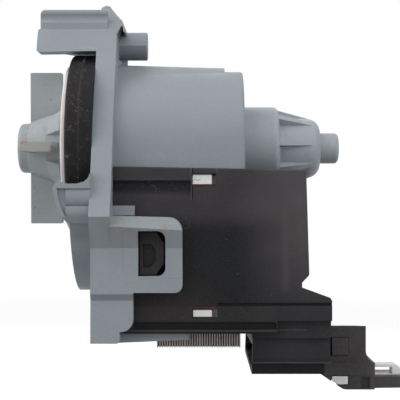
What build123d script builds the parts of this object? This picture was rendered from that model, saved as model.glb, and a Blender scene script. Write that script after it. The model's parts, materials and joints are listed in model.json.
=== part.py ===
from build123d import *

import math
import os

# Dishwasher drain pump, in millimetres. The rotor's axis is X: the impeller is at -X and the closed end
# of the rotor can at +X. Z is up, and -Y is the near side, where the plug's latch is.
# The origin is on the rotor's axis, in the flange's sump face.

# Driving dimensions: rotor line
SHAFT_R = 2.0
RUNNING_GAP = 0.05
MOVING_GAP = 0.3
IMPELLER_R = 23.2
IMPELLER_FRONT = -24.1
BLADE_FRONT = -20.8
BLADE_BACK = -11.1
BLADE_THICKNESS = 2.9
BLADE_COUNT = 4
BLADE_TURN_DEG = 1.5
HUB_R = 7.7
HUB_COLLAR_END = -20.9
HUB_FLARE_R = 12.7
HUB_BACK = -10.7
HUB_NOTCH_R = 10.1
DOG_CAVITY_R = 6.2
DOG_SECTOR_DEG = 60.0
BUSH_R = 4.5

# Driving dimensions: flange and its surroundings
PLATE_FRONT = 0.6
PLATE_BACK = 6.5
SPIGOT_R = 25.6
SPIGOT_FRONT = -7.3
SEAL_R = 28.5
DISC_R = 25.2
DISC_FRONT = -8.8
CHAMBER_R = 21.4
PLATE_TOP = 35.5
ARM_LEFT = -17.2
ARM_TIP_UNDERSIDE = 27.85
ARM_ROOT_UNDERSIDE = 28.3
ARM_OVER_SEAL = 29.3
RAIL_LEFT = -16.55
RAIL_RIGHT = 3.7
RAIL_TOP = 41.2
POST_R = 4.3
POST_Z = 31.5
GUARD_R = 34.5
GUARD_CENTRE_Z = -9.2
GUARD_WALL = 2.6
GUARD_DEPTH = 5.2
GUARD_TOP = -20.6
LUG_OUTER = 35.0
LUG_INNER = 31.0
LOOP_INNER = 27.3

# Driving dimensions: rotor can and hood
CAN_R = 12.7
CAN_BORE_R = 11.0
CAN_SHOULDER = 55.35
CAN_RIB_COUNT = 8
CAN_RIB_TURN_DEG = -7.5
CAN_RIB_END = 65.2
CAN_END = 68.25
CAN_END_R = 9.0
NOSE_R = 4.7
NOSE_END = 74.0
HOOD_R = 23.5
HOOD_WALL = 1.8
HOOD_END = 44.4
HOOD_END_WALL = 0.9
HOOD_BOTTOM = -8.7
PAD_RIGHT = 38.9
PAD_TOP = 25.7
PAD_CROWN_R = 10.0
PAD_SLOPE_DEG = 1.65

# Driving dimensions: stator
CORE_LEFT = 18.6
CORE_RIGHT = 43.4
CORE_BOTTOM = -59.2
CORE_TOP = 11.0
YOKE_HEIGHT = 9.0
LEG_INNER = 8.0
LEG_OUTER = 18.5
AIR_R = 13.1
BOBBIN_TOP = -9.0
BOBBIN_BOTTOM = -50.0
BOBBIN_WALL = 0.9
BOBBIN_OVERHANG = 5.1
FLANGE_INNER = 0.6
FLANGE_OUTER = 24.6
FLANGE_LEFT = CORE_LEFT - BOBBIN_OVERHANG
FLANGE_RIGHT = CORE_RIGHT + BOBBIN_OVERHANG
WINDING_TOP = BOBBIN_TOP - 2.5
WINDING_BOTTOM = BOBBIN_BOTTOM + 2.6
FUSE_R = 1.9

# Driving dimensions: motor cover and its socket
COVER_HALF_WIDTH = 27.0
COVER_WALL = 1.7
COVER_LEFT = 6.6
COVER_RIGHT = 62.6
COVER_TOP = -6.4
COVER_BOTTOM = -54.15
COVER_WAIST = 60.5
EXTENSION_RIGHT = 69.05
EXTENSION_FALL = 4.5
STEP_LEFT = 53.5
STEP_TOP = -50.45
STEP_HALF_WIDTH = 24.5
SHROUD_HALF_WIDTH = 23.0
SHROUD_WALL = 1.6
SHROUD_LEFT = 46.7
SHROUD_RIGHT = 69.0
SHROUD_FOOT_RIGHT = 67.2
SHROUD_RIDGE = -63.0
SHROUD_BOTTOM = -66.2
SOCKET_TOP = -55.9
SOCKET_BOTTOM = -64.8
CARRIER_LEFT = 49.2
CARRIER_RIGHT = 52.0

# Driving dimensions: plug and terminals
PLUG_HALF_WIDTH = 11.0
PLUG_LEFT = 69.4
PLUG_RIGHT = 81.1
PLUG_TOP = -53.75
PLUG_TOP_FALL = 2.45
PLUG_FOOT_RIGHT = 83.76
PLUG_BOTTOM = -72.8
TONGUE_LEFT = 55.0
BLADE_Z = -60.35
BLADE_PITCH = 7.0
TERMINAL_COUNT = 3
TERMINAL_WIDTH = 4.8
TERMINAL_THICKNESS = 0.8
CONTACT_HALF_WIDTH = 3.2
CONTACT_HALF_HEIGHT = 1.5
WIRE_ENTRY_R = 1.3
LATCH_TOP = -57.2
LATCH_BOTTOM = -62.4
LATCH_PIN_X = 78.2
LATCH_PIN_Y = -9.1
LATCH_PIN_R = 0.8
LATCH_THUMB_RIGHT = 75.9
LATCH_GAP = 0.14
LOCK_LOOP_HALF_WIDTH = 2.6
LOCK_LOOP_TOP = -66.6
BAR_HALF_WIDTH = 6.5


def block(x0, x1, y0, y1, z0, z1):
    """A box between two corners."""
    centre = Pos((x0 + x1) / 2, (y0 + y1) / 2, (z0 + z1) / 2)
    return centre * Box(x1 - x0, y1 - y0, z1 - z0)


def rod_x(radius, x0, x1, y=0.0, z=0.0):
    """A cylinder along X."""
    return Pos((x0 + x1) / 2, y, z) * Rot(0, 90, 0) * Cylinder(radius, x1 - x0)


def tube_x(outer, inner, x0, x1):
    """A plain tube round the rotor's axis."""
    return rod_x(outer, x0, x1) - rod_x(inner, x0 - 1, x1 + 1)


def corner_near(face, point):
    """The face's corner that is nearest to a point."""
    return min(face.vertices(), key=lambda v: (Vector(v.X, v.Y, v.Z) - point).length)


def turned(points, rounds=()):
    """A solid of revolution round the rotor's axis, from (x, radius) points, with some corners rounded."""
    face = make_face(Polyline(*points, close=True))
    for (x, r), radius in rounds:
        face = fillet(corner_near(face, Vector(x, r, 0)), radius)
    return revolve(face, Axis.X, 360)


def side_face(points, y, rounds):
    """A face in a plane of constant Y, from (x, z) points, with some corners rounded."""
    face = Plane.XZ.offset(-y) * make_face(Polyline(*points, close=True))
    for (x, z), radius in rounds:
        face = fillet(corner_near(face, Vector(x, y, z)), radius)
    return face


def side_prism(points, y0, y1, rounds=()):
    """A solid with an (x, z) outline, between two Y planes."""
    return extrude(side_face(points, y1, rounds), amount=y1 - y0, dir=(0, -1, 0))


def cross_prism(points, x0, x1):
    """A solid with a (y, z) outline, between two X planes."""
    face = Plane.YZ.offset(x0) * make_face(Polyline(*points, close=True))
    return extrude(face, amount=x1 - x0, dir=(1, 0, 0))


def plan_prism(points, z0, z1):
    """A solid with an (x, y) outline, between two Z planes."""
    face = Plane.XY.offset(z0) * make_face(Polyline(*points, close=True))
    return extrude(face, amount=z1 - z0, dir=(0, 0, 1))


def both_sides(shape):
    """The shape and its mirror image across the X-Z plane."""
    return shape + mirror(shape, Plane.XZ)


def sector(r0, r1, middle_deg, width_deg, x0, x1):
    """Part of a ring round the rotor's axis. Angle 0 is +Y, 90 is +Z."""
    ring = tube_x(r1, r0, x0, x1)
    reach = r1 * 1.6
    edges = [middle_deg - width_deg / 2, middle_deg, middle_deg + width_deg / 2]
    rays = [(reach * math.cos(math.radians(a)), reach * math.sin(math.radians(a))) for a in edges]
    return ring & cross_prism([(0, 0), *rays], x0, x1)


# Housing


def flange_plate():
    """The flange, narrow at the top arm and widest at the guard's corners."""
    half = [
        (10.4, PLATE_TOP),
        (14.0, 28.0),
        (20.4, 16.6),
        (25.3, 6.9),
        (28.9, -2.4),
        (32.2, -11.5),
        (37.3, GUARD_TOP),
        (31.5, -29.5),
        (32.0, -42.4),
        (30.9, -44.3),
        (31.6, -56.3),
    ]
    outline = half + [(-y, z) for y, z in reversed(half)]
    return cross_prism(outline, PLATE_FRONT, PLATE_BACK)


def spigot():
    """The round neck that carries the sump seal."""
    return rod_x(SPIGOT_R, SPIGOT_FRONT, PLATE_FRONT + 1)


def top_arm():
    """The arm on the near side that reaches forward over the seal, with a lipped rail on top."""
    arm_top = PLATE_TOP - 0.1
    far_y = 5.0
    lower = side_prism(
        [(ARM_LEFT, ARM_TIP_UNDERSIDE), (1.5, ARM_ROOT_UNDERSIDE), (1.5, arm_top), (ARM_LEFT, arm_top)],
        -16,
        far_y,
        [((ARM_LEFT, ARM_TIP_UNDERSIDE), 1.0), ((ARM_LEFT, arm_top), 0.9)],
    )
    outer_side = [(-10.16, 36), (-14.0, 28.0), (-14.3, 27.4)]
    over_seal = [(-9.9, 27.4), (-4.2, ARM_OVER_SEAL), (far_y, ARM_OVER_SEAL), (far_y, 36)]
    lower &= cross_prism(outer_side + over_seal, ARM_LEFT, 1.5)
    lower &= plan_prism([(ARM_LEFT, -16), (1.5, -16), (1.5, far_y), (-7.8, far_y), (ARM_LEFT, -8.8)], 27, 36)
    rail = side_prism(
        [(RAIL_LEFT, 35.2), (RAIL_RIGHT, 35.2), (RAIL_RIGHT, RAIL_TOP), (RAIL_LEFT, RAIL_TOP)],
        -10.5,
        -8.3,
        [((RAIL_LEFT, RAIL_TOP), 1.3)],
    )
    rail = fillet(rail.edges().filter_by(Axis.X).group_by(Axis.Z)[-1], 0.7)
    cove = rod_x(2.1, RAIL_LEFT - 1, RAIL_RIGHT + 1, -12.15, 38.6)
    return lower + rail - cove


def gusset_horn():
    """The rounded top of the gusset, with a near face that leans back."""
    outline = [(1.2, 34.0), (1.2, 42.9), (2.7, 43.7), (3.8, 43.4), (5.3, 41.3), (7.0, 39.2), (7.0, 34.0)]
    horn = side_prism(outline, -7.5, 6.0, [((1.2, 42.9), 0.7), ((2.7, 43.7), 1.2), ((3.8, 43.4), 1.0)])
    return horn & cross_prism([(-7.5, 30), (-7.5, 38), (-2.5, 44.5), (6, 44.5), (6, 30)], 0, 10)


def gusset_shoulder():
    """The gusset's broad lower part, flush with the flange's edge; it stands over the post as an arch."""
    outline = [(2.0, 33.5), (2.0, 38.3), (7.7, 38.5), (8.3, 37.2), (9.0, 34.4), (6.8, 34.4), (6.4, 33.5)]
    shoulder = side_prism(outline, -11.0, 6.0, [((7.7, 38.5), 0.5)])
    shoulder &= cross_prism([(-10.9, 33), (-10.9, 34.4), (-9.0, 38.6), (6, 38.6), (6, 33)], 0, 10)
    arch = [(6.8, 33), (6.8, 34.4), (7.75, 36.3), (8.15, 36.3), (8.45, 34.5), (8.45, 33)]
    return shoulder - side_prism(arch, -12.0, 0.5)


def rear_post():
    """The round post behind the flange, with its parting ridge and the rib down to the hood."""
    post = rod_x(POST_R, 5.0, 15.2, z=POST_Z)
    post = fillet(post.faces().sort_by(Axis.X)[-1].edges(), 0.4)
    ridge = block(5.0, 15.0, -POST_R - 0.15, POST_R + 0.15, POST_Z - 0.3, POST_Z)
    rib = block(7.1, 9.0, -0.8, 0.8, 23.0, 28.0)
    return post + ridge + rib


def guard_ring():
    """The curved apron round the lower half of the seal."""
    outer = rod_x(GUARD_R, -GUARD_DEPTH, PLATE_FRONT + 1, z=GUARD_CENTRE_Z)
    inner = rod_x(GUARD_R - GUARD_WALL, -GUARD_DEPTH - 1, PLATE_FRONT, z=GUARD_CENTRE_Z)
    upper = block(-GUARD_DEPTH - 1, 3, -40, 40, GUARD_TOP, 40)
    return outer - inner - upper


def guard_lug():
    """The pocketed block at one end of the guard, on the near side."""
    face = -LUG_OUTER
    body = side_prism(
        [
            (0.9, -22.45),
            (0.9, -8.4),
            (0.25, -10.0),
            (-0.9, -10.95),
            (-2.8, -11.45),
            (-5.9, -11.45),
            (-8.35, -10.65),
            (-9.55, -12.4),
            (-8.55, -17.4),
            (-6.95, -20.75),
            (-5.6, -22.45),
        ],
        face,
        -LUG_INNER,
        [
            ((0.25, -10.0), 1.5),
            ((-0.9, -10.95), 1.5),
            ((-2.8, -11.45), 2.0),
            ((-8.55, -17.4), 6.0),
            ((-9.55, -12.4), 0.4),
        ],
    )
    pocket = side_prism(
        [(-8.35, -12.75), (-5.95, -12.75), (-5.95, -20.55), (-6.7, -19.25), (-7.65, -16.9)],
        face - 1,
        face + 1.0,
    )
    upper_round = block(-5.95, 1.0, face - 1, face + 2.2, -17.75, -12.8)
    upper_round -= rod_x(5.0, -7, 2, face + 5.3, -14.6)
    lower_round = block(-5.95, 1.0, face - 1, face + 2.2, -20.75, -17.75)
    lower_round -= rod_x(5.0, -7, 2, face + 5.2, -18.6)
    slope = cross_prism([(-42, -20.75), (face, -20.75), (face + 2.2, -23.6), (-42, -23.6)], -12, 2)
    return body - pocket - upper_round - lower_round - slope


def loop_ridge():
    """The ridged upper edge of the snap loop, which gets lower and thinner to the right."""
    ends = []
    for x, ridge_y, ridge_z in ((PLATE_BACK - 0.1, -36.3, -23.3), (27.0, -34.0, -24.5)):
        section = [
            (-LOOP_INNER, -20.0),
            (-32.0, -20.2),
            (ridge_y, ridge_z),
            (-31.5, -29.5),
            (-LOOP_INNER, -29.5),
        ]
        ends.append(Plane.YZ.offset(x) * make_face(Polyline(*section, close=True)))
    return loft(ends, ruled=True)


def side_loop():
    """The snap loop and lower cheek on the near side, flush with the flange's stepped edge."""
    section = loop_ridge() + cross_prism(
        [
            (-LOOP_INNER, -29.0),
            (-31.5, -29.5),
            (-32.0, -42.4),
            (-30.9, -44.3),
            (-31.6, -56.3),
            (-LOOP_INNER, -56.3),
        ],
        5.0,
        27.0,
    )
    outline = side_prism(
        [
            (5.0, -20.4),
            (26.4, -20.95),
            (26.5, -42.05),
            (12.6, -42.05),
            (12.6, -53.1),
            (8.8, -53.1),
            (8.8, -56.3),
            (5.0, -56.3),
        ],
        -40,
        0,
        [((26.4, -20.95), 3.9), ((26.5, -42.05), 2.2), ((12.6, -53.1), 3.4), ((8.8, -56.3), 0.9)],
    )
    window = side_prism(
        [(14.05, -37.4), (14.05, -24.65), (21.7, -24.65), (21.7, -37.4)],
        -40,
        0,
        [((21.7, -24.65), 2.3), ((21.7, -37.4), 2.3)],
    )
    return section & outline - window


def side_tab():
    """The small tab above the snap loop, on the near side."""
    return block(5.0, 12.9, -LOOP_INNER - 1.4, -LOOP_INNER, -20.4, -17.6)


def core_arm():
    """The thin arm along the near side of the core, under the cover."""
    outline = [(5.0, -54.25), (28.2, -54.25), (28.2, -56.2), (5.0, -57.2)]
    return side_prism(outline, -24.0, -LEG_OUTER - MOVING_GAP)


def arch_section(radius, x0, x1):
    """A half cylinder over straight walls that go down to the hood's lower edge."""
    crown = rod_x(radius, x0, x1) & block(x0, x1, -radius, radius, 0, radius + 1)
    return crown + block(x0, x1, -radius, radius, HOOD_BOTTOM, 0)


def crown_pad():
    """The raised pad on the hood: a narrower crown whose sides run tangent onto the hood."""
    centre_z = PAD_TOP - PAD_CROWN_R
    turn = math.acos((HOOD_R - PAD_CROWN_R) / centre_z)
    side = [
        (HOOD_R * math.sin(turn), HOOD_R * math.cos(turn)),
        (PAD_CROWN_R * math.sin(turn), centre_z + PAD_CROWN_R * math.cos(turn)),
    ]
    length = PAD_RIGHT - PLATE_BACK + 1
    wedge = cross_prism([(0, 0), *side, *[(-y, z) for y, z in reversed(side)]], 0, length)
    pad = wedge + rod_x(PAD_CROWN_R, 0, length, z=centre_z)
    tilted = Pos(PLATE_BACK - 1, 0, 0) * Rot(0, PAD_SLOPE_DEG, 0) * pad
    return tilted & block(PLATE_BACK - 0.5, PAD_RIGHT, -HOOD_R, HOOD_R, HOOD_R / 2, PAD_TOP + 1)


def stator_hood():
    """The hood over the poles and the rotor, closed at its right end, with a crown pad."""
    outer = arch_section(HOOD_R, PLATE_BACK - 0.5, HOOD_END)
    outer = fillet(outer.faces().sort_by(Axis.X)[-1].edges(), 0.8)
    inner = arch_section(HOOD_R - HOOD_WALL, PLATE_BACK, HOOD_END - HOOD_END_WALL)
    return outer + crown_pad() - inner


def pump_housing():
    """The grey moulding."""
    near = guard_lug() + side_loop() + side_tab() + core_arm()
    shape = flange_plate() + spigot() + top_arm() + gusset_horn() + gusset_shoulder() + rear_post()
    shape += guard_ring() + both_sides(near) + stator_hood()
    shape -= rod_x(CHAMBER_R, SPIGOT_FRONT - 1, 0.8)
    shape -= rod_x(CAN_R, 0, HOOD_END + 1)
    return shape


# Rotor can


def can_rib():
    """One rib of the can's end, at the top: it gets lower and narrower to the right."""
    outline = [(53.8, 5), (53.8, 12.3), (CAN_SHOULDER, 11.7), (CAN_RIB_END, 9.05), (CAN_RIB_END, 5)]
    plan = [(53.8, -1.3), (CAN_RIB_END, -0.75), (CAN_RIB_END, 0.75), (53.8, 1.3)]
    return side_prism(outline, -1.5, 1.5) & plan_prism(plan, 4, 13)


def rotor_can():
    """The closed tube round the rotor, with a flange at the front and ribs round its end."""
    floor_r = CAN_END_R + 0.2
    body = turned(
        [
            (-1.4, 0),
            (-1.4, CHAMBER_R),
            (0.8, CHAMBER_R),
            (0.8, CAN_R),
            (CAN_SHOULDER, CAN_R),
            (CAN_SHOULDER, floor_r),
            (CAN_END, CAN_END_R),
            (CAN_END, NOSE_R),
            (NOSE_END, NOSE_R),
            (NOSE_END, 0),
        ],
        [
            ((CAN_SHOULDER, CAN_R), 1.6),
            ((CAN_SHOULDER, floor_r), 0.7),
            ((CAN_END, CAN_END_R), 3.8),
            ((NOSE_END, NOSE_R), 1.2),
        ],
    )
    for index in range(CAN_RIB_COUNT):
        body += Rot(CAN_RIB_TURN_DEG + 360 / CAN_RIB_COUNT * index, 0, 0) * can_rib()
    body -= rod_x(CAN_BORE_R, -2, 52)
    body -= rod_x(6.3, 51, 60)
    body -= rod_x(2.6, 59, 72)
    return body


# Front plate and seals


def front_bearing_plate():
    """The white disc, its locating skirt, its bush carrier and the ribs between them."""
    disc = rod_x(DISC_R, DISC_FRONT, SPIGOT_FRONT)
    disc = fillet(disc.faces().sort_by(Axis.X)[0].edges(), 0.5)
    skirt = tube_x(CHAMBER_R - 0.1, 18.6, SPIGOT_FRONT - 0.1, -3.4)
    carrier = tube_x(9.0, 7.0, SPIGOT_FRONT - 0.1, 2.2)
    shape = disc + skirt + carrier
    for index in range(6):
        shape += Rot(60 * index, 0, 0) * block(SPIGOT_FRONT - 0.1, -3.8, -0.8, 0.8, 8.5, 19.0)
    shape -= rod_x(SHAFT_R + 0.6, DISC_FRONT - 1, SPIGOT_FRONT + 1)
    return shape


def sump_seal():
    """The rubber ring on the spigot, rounded at its front."""
    return turned(
        [
            (SPIGOT_FRONT, SPIGOT_R),
            (SPIGOT_FRONT, SEAL_R),
            (PLATE_FRONT, SEAL_R),
            (PLATE_FRONT, SPIGOT_R),
        ],
        [((SPIGOT_FRONT, SEAL_R), 1.0)],
    )


def can_seal():
    """The O-ring between the rotor can's flange and the front plate's skirt."""
    ring = Plane.XY * Pos(-2.4, 19.9, 0) * Circle(1.0)
    return revolve(ring, Axis.X, 360)


# Bearings and rotor


def front_bush():
    return tube_x(BUSH_R, SHAFT_R + RUNNING_GAP, -6.8, 2.0)


def front_bush_rubber():
    return tube_x(7.0, BUSH_R, SPIGOT_FRONT, 2.0)


def rear_bush():
    return tube_x(BUSH_R, SHAFT_R + RUNNING_GAP, 52.4, 60.0)


def rear_bush_rubber():
    return tube_x(6.3, BUSH_R, 52.4, 60.0)


def shaft():
    """The ceramic shaft, with chamfered ends."""
    rod = rod_x(SHAFT_R, -22.4, 61.5)
    return chamfer(rod.edges(), 0.3)


def rotor_sleeve():
    """The plastic sleeve that holds the magnet on the shaft."""
    barrel = tube_x(3.6, SHAFT_R, 8.0, 50.0)
    collar = tube_x(8.0, SHAFT_R, 11.5, 13.5)
    end_collar = tube_x(8.0, SHAFT_R, 48.0, 50.0)
    return barrel + collar + end_collar


def rotor_magnet():
    ring = tube_x(10.1, 3.6, 13.5, 48.0)
    return chamfer(ring.faces().sort_by(Axis.X)[0].outer_wire().edges(), 0.5)


def front_thrust_washer():
    return tube_x(5.5, SHAFT_R, 6.4, 8.0)


def rear_thrust_washer():
    return tube_x(5.5, SHAFT_R, 50.0, 51.4)


def drive_dog():
    """The dog on the shaft that carries the impeller round when it meets the impeller's stop."""
    ring = tube_x(3.4, SHAFT_R, -19.6, -14.0)
    return ring + sector(2.8, DOG_CAVITY_R - MOVING_GAP, 270, DOG_SECTOR_DEG, -19.6, -14.0)


def impeller_hub():
    """The hub, flared to the right and rounded at its front."""
    return turned(
        [
            (IMPELLER_FRONT, 0),
            (IMPELLER_FRONT, HUB_R - 0.2),
            (HUB_COLLAR_END, HUB_R),
            (HUB_COLLAR_END + 0.2, HUB_R + 0.35),
            (-17.7, HUB_R + 1.5),
            (-14.6, HUB_R + 2.6),
            (HUB_BACK, HUB_FLARE_R),
            (HUB_BACK, 0),
        ],
        [((IMPELLER_FRONT, HUB_R - 0.2), 1.4)],
    )


def hub_notch():
    """The notch with leaning sides cut into the hub's flare round the top blade's root."""
    wedge = cross_prism([(-3.0, 8.0), (3.0, 8.0), (6.2, 13.2), (-6.2, 13.2)], -16.0, -10.0)
    return wedge - rod_x(HUB_NOTCH_R, -17.0, -9.0)


def impeller_blade():
    """One straight blade, at the top."""
    outline = [(BLADE_FRONT, 5.0), (BLADE_FRONT, IMPELLER_R), (BLADE_BACK, IMPELLER_R), (BLADE_BACK, 5.0)]
    half = BLADE_THICKNESS / 2
    rounds = [((BLADE_FRONT, IMPELLER_R), 0.4), ((BLADE_BACK, IMPELLER_R), 0.4)]
    return side_prism(outline, -half, half, rounds)


def impeller():
    """Straight blades on a flared hub, with a cavity for the drive dog."""
    shape = impeller_hub()
    turns = [Rot(BLADE_TURN_DEG + 360 / BLADE_COUNT * index, 0, 0) for index in range(BLADE_COUNT)]
    for turn in turns:
        shape -= turn * hub_notch()
    for turn in turns:
        shape += turn * impeller_blade()
    shape -= rod_x(DOG_CAVITY_R, -19.9, HUB_BACK + 1)
    shape -= rod_x(7.4, -13.6, HUB_BACK + 1)
    shape -= rod_x(SHAFT_R + RUNNING_GAP, -22.7, -19)
    shape += sector(3.4 + MOVING_GAP, DOG_CAVITY_R + 0.5, 90, DOG_SECTOR_DEG, -20.4, -13.7)
    return shape


def impeller_cap():
    """The disc that closes the dog's cavity."""
    return tube_x(7.4, SHAFT_R + RUNNING_GAP, -13.6, HUB_BACK)


# Stator


def core_stack():
    """The U-shaped lamination stack, cut round the rotor can between its poles."""
    outer = block(CORE_LEFT, CORE_RIGHT, -LEG_OUTER, LEG_OUTER, CORE_BOTTOM, CORE_TOP)
    gap = block(CORE_LEFT - 1, CORE_RIGHT + 1, -LEG_INNER, LEG_INNER, CORE_BOTTOM + YOKE_HEIGHT, CORE_TOP + 1)
    return outer - gap - rod_x(AIR_R, CORE_LEFT - 1, CORE_RIGHT + 1)


def can_clearance():
    return rod_x(AIR_R, CORE_LEFT - 10, CORE_RIGHT + 8)


def leg_space():
    """The near leg's space inside its bobbin."""
    return block(CORE_LEFT, CORE_RIGHT, -LEG_OUTER, -LEG_INNER, -60, 0)


def coil_block(margin, z0, z1):
    """A block round the near leg, set in from the bobbin's flanges by a margin."""
    return block(
        FLANGE_LEFT + margin,
        FLANGE_RIGHT - margin,
        -FLANGE_OUTER + margin,
        -FLANGE_INNER - margin,
        z0,
        z1,
    )


def bobbin_tube():
    """The near bobbin's tube, as a solid."""
    return block(
        CORE_LEFT - BOBBIN_WALL,
        CORE_RIGHT + BOBBIN_WALL,
        -LEG_OUTER - BOBBIN_WALL,
        -LEG_INNER + BOBBIN_WALL,
        BOBBIN_BOTTOM,
        BOBBIN_TOP,
    )


def near_bobbin():
    """A coil former: a square tube with a flange at each end, and tabs that show in the cover's windows."""
    shape = bobbin_tube()
    shape += coil_block(0, WINDING_TOP, BOBBIN_TOP)
    shape += coil_block(0, BOBBIN_BOTTOM, WINDING_BOTTOM)
    shape += block(29.3, 34.75, -26.5, -FLANGE_OUTER + 1, WINDING_TOP, -8.8)
    shape += block(29.45, 34.8, -26.5, -FLANGE_OUTER + 1, -49.3, WINDING_BOTTOM)
    return shape - leg_space() - can_clearance()


def near_winding():
    """The copper winding, as a plain block hidden under its tape."""
    body = coil_block(1.0, WINDING_BOTTOM, WINDING_TOP)
    return body - bobbin_tube() - can_clearance()


def near_coil_tape():
    """The tape round the winding."""
    outer = coil_block(0.6, WINDING_BOTTOM, WINDING_TOP)
    return outer - coil_block(1.0, WINDING_BOTTOM - 1, WINDING_TOP + 1) - can_clearance()


def bobbin_pins():
    """The four square pins at the right end of the bobbins' lower flanges."""
    pins = Part()
    z = (BOBBIN_BOTTOM + WINDING_BOTTOM) / 2
    for y in (-17.0, -6.0, 6.0, 17.0):
        pins += block(FLANGE_RIGHT, FLANGE_RIGHT + 4.0, y - 0.4, y + 0.4, z - 0.4, z + 0.4)
    return pins


def thermal_fuse():
    """The fuse that lies against the near coil."""
    return Pos(FLANGE_RIGHT - 0.6 + FUSE_R, -11.5, -30) * Cylinder(FUSE_R, 12)


# Motor cover


def cover_body(half, inset):
    """The main box, from the flange to the waist at its right end, set in by a wall thickness."""
    right = COVER_RIGHT - inset
    waist = COVER_WAIST - inset
    top = COVER_TOP - inset
    outline = [
        (COVER_LEFT, top),
        (right - 0.9, top - 1.0),
        (right, -37.4),
        (waist, -39.6),
        (waist, COVER_BOTTOM + inset),
        (COVER_LEFT, COVER_BOTTOM + inset),
    ]
    return side_prism(outline, -half, half, [((right, -37.4), 0.8), ((right - 0.9, top - 1.0), 0.7)])


def cover_extension(half, inset):
    """The lower step to the right; its top falls away to the far side."""
    right = EXTENSION_RIGHT - inset
    low = COVER_BOTTOM + inset
    outline = [
        (COVER_WAIST - 3, -40.9 - inset),
        (COVER_WAIST, -40.9 - inset),
        (right - 0.5, -43.85 - inset),
        (right, -44.75 - inset),
        (right, low - EXTENSION_FALL),
        (COVER_WAIST - 3, low - EXTENSION_FALL),
    ]
    face = side_face(outline, -half, [])
    leaning = extrude(face, amount=2 * half, dir=(0, 1, -EXTENSION_FALL / (2 * COVER_HALF_WIDTH)))
    return leaning & block(COVER_WAIST - 3, right, -half, half, low, 0)


def cover_step(half_width, top):
    """The space beside the cover's lower right part, on the near side."""
    return block(STEP_LEFT, 71, -COVER_HALF_WIDTH - 1, -half_width, COVER_BOTTOM - 1, top)


def cover_shell():
    """The hollow box round the coils, open at the flange and under the hood."""
    half = COVER_HALF_WIDTH - COVER_WALL
    outer = cover_body(COVER_HALF_WIDTH, 0)
    outer = fillet([edge for edge in outer.edges() if edge.length > 40 and edge.center().Z > -9], 0.5)
    outer += cover_extension(COVER_HALF_WIDTH, 0)
    outer -= both_sides(cover_step(STEP_HALF_WIDTH, STEP_TOP))
    inner = cover_body(half, COVER_WALL) + cover_extension(half, COVER_WALL)
    low, high = COVER_BOTTOM + COVER_WALL, COVER_TOP - COVER_WALL
    inner += block(COVER_LEFT - 1, COVER_LEFT + 1, -half, half, low, high)
    step_inner = cover_step(STEP_HALF_WIDTH - COVER_WALL, STEP_TOP + COVER_WALL)
    inner -= both_sides(Pos(-COVER_WALL, 0, 0) * step_inner)
    hood_half = HOOD_R + 0.2
    hood_space = block(COVER_LEFT - 1, HOOD_END + 0.2, -hood_half, hood_half, -20, 0)
    can_space = rod_x(CAN_R + 0.5, 40, 70)
    yoke_half = LEG_OUTER + MOVING_GAP
    yoke_space = block(CORE_LEFT - 0.3, CORE_RIGHT + 0.3, -yoke_half, yoke_half, -60, -50)
    return outer - inner - hood_space - can_space - yoke_space


def cover_grooves():
    """The soft band, grooves, windows and lines cut into the near face."""
    face = -COVER_HALF_WIDTH
    scoop = [(face - 1, -10.45), (face + 1.0, -10.45), (face + 1.0, -11.2), (face, -15.2), (face - 1, -15.2)]
    band = cross_prism(scoop, COVER_LEFT - 1, 28.8)
    seam = block(29.1, 29.4, face - 1, face + 0.3, -16.0, -5.0)
    groove = side_prism(
        [(12.6, -53.0), (12.6, -50.75), (53.2, -50.75), (53.2, -53.0)],
        face - 1,
        face + 0.7,
        [((53.2, -50.75), 1.1), ((53.2, -53.0), 1.1)],
    )
    step = block(36.4, 71, face - 1, face + 0.5, -46.2, -45.3)
    foot = block(COVER_LEFT - 1, 71, face - 1, face + 0.6, COVER_BOTTOM - 0.1, -53.55)
    upper_window = block(29.0, 35.9, face - 1, face + 4, -12.2, -8.5)
    lower_window = block(29.15, 36.35, face - 1, face + 4, -49.5, -46.5)
    return band + seam + groove + step + foot + upper_window + lower_window


def latch_lug():
    """The D-shaped lug that snaps into the housing's loop, on the near side."""
    face = -COVER_HALF_WIDTH
    outline = [
        (14.4, -37.05),
        (14.4, -25.05),
        (19.2, -25.05),
        (21.25, -28.2),
        (21.25, -33.9),
        (19.0, -37.05),
    ]
    body = side_prism(outline, face - 3.3, face + 0.4, [((21.25, -28.2), 1.0), ((21.25, -33.9), 1.0)])
    recess = side_prism(
        [(15.2, -35.0), (15.2, -28.4), (17.7, -28.4), (19.0, -30.15), (19.0, -33.2), (17.5, -35.0)],
        face - 4,
        face - 1.6,
    )
    return body - recess


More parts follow.
